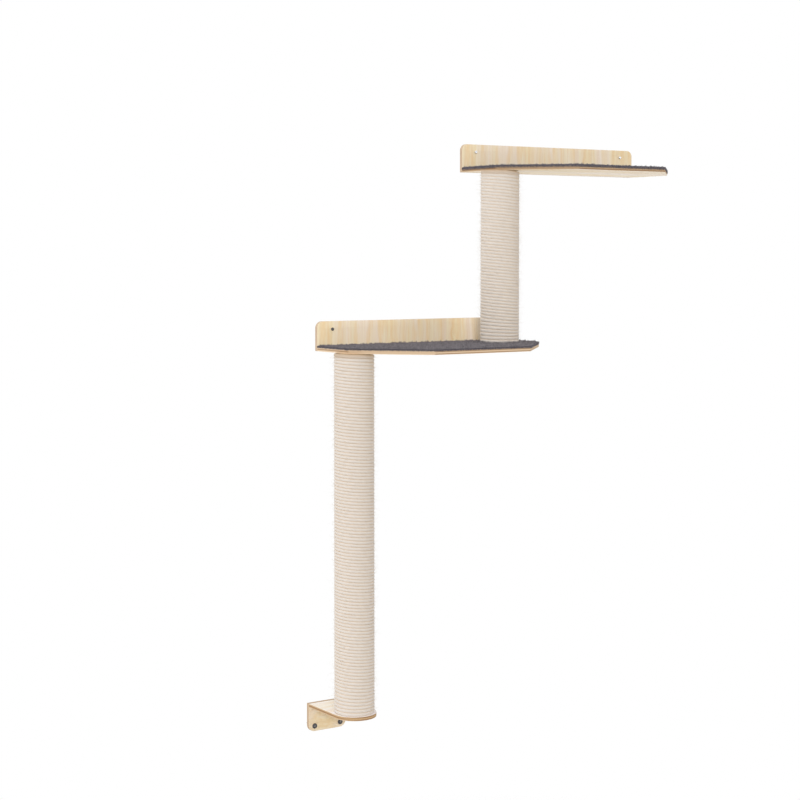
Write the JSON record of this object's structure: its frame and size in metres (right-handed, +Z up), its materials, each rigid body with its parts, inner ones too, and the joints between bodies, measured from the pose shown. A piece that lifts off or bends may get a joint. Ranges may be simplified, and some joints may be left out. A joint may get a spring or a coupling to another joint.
{
  "type": "wall-mounted cat scratcher",
  "caption": "Cat scratcher for a wall: a tall and a short rope-wound post climb like stairs between a wall bracket and plywood shelves topped with grey carpet.",
  "frame": {"origin": "centre of the bottom bracket's wall face, in the plane of the wall", "axes": "+Z up, +Y into the wall, +X along the wall towards the upper post and top shelf"},
  "size_m": [0.956, 0.308, 1.345],
  "materials": {
    "plywood": "clear-sanded softwood-faced plywood, pale cream, with darker edge layers",
    "plug_wood": "turned raw wood",
    "tube_card": "spiral-wound card",
    "sisal_rope": "natural twisted sisal, pale, with loose fibres",
    "grey_carpet": "dark grey short-pile carpet",
    "zinc_steel": "zinc-plated",
    "black_screws": "black, satin"
  },
  "bodies": {
    "root": {"bracket_back_plate": "plywood", "bracket_post_plate": "plywood", "bracket_joint_screws": "zinc_steel", "bracket_wall_screws": "black_screws", "lower_post_bottom_bolt": "zinc_steel", "lower_post_bottom_washer": "zinc_steel", "lower_post_tube": "tube_card", "lower_post_bottom_plug": "plug_wood", "lower_post_top_plug": "plug_wood", "lower_post_plug_pins": "zinc_steel", "lower_post_tee_nuts": "zinc_steel", "lower_post_rope": "sisal_rope", "lower_post_top_bolt": "zinc_steel", "middle_shelf_panel": "plywood", "middle_shelf_backboard": "plywood", "middle_shelf_carpet": "grey_carpet", "middle_shelf_joint_screws": "zinc_steel", "middle_shelf_wall_screws": "black_screws", "upper_post_bottom_bolt": "zinc_steel", "upper_post_bottom_washer": "zinc_steel", "upper_post_tube": "tube_card", "upper_post_bottom_plug": "plug_wood", "upper_post_top_plug": "plug_wood", "upper_post_plug_pins": "zinc_steel", "upper_post_tee_nuts": "zinc_steel", "upper_post_rope": "sisal_rope", "upper_post_top_bolt": "zinc_steel", "top_shelf_panel": "plywood", "top_shelf_backboard": "plywood", "top_shelf_carpet": "grey_carpet", "top_shelf_joint_screws": "zinc_steel", "top_shelf_wall_screws": "zinc_steel"}
  },
  "joints": []
}
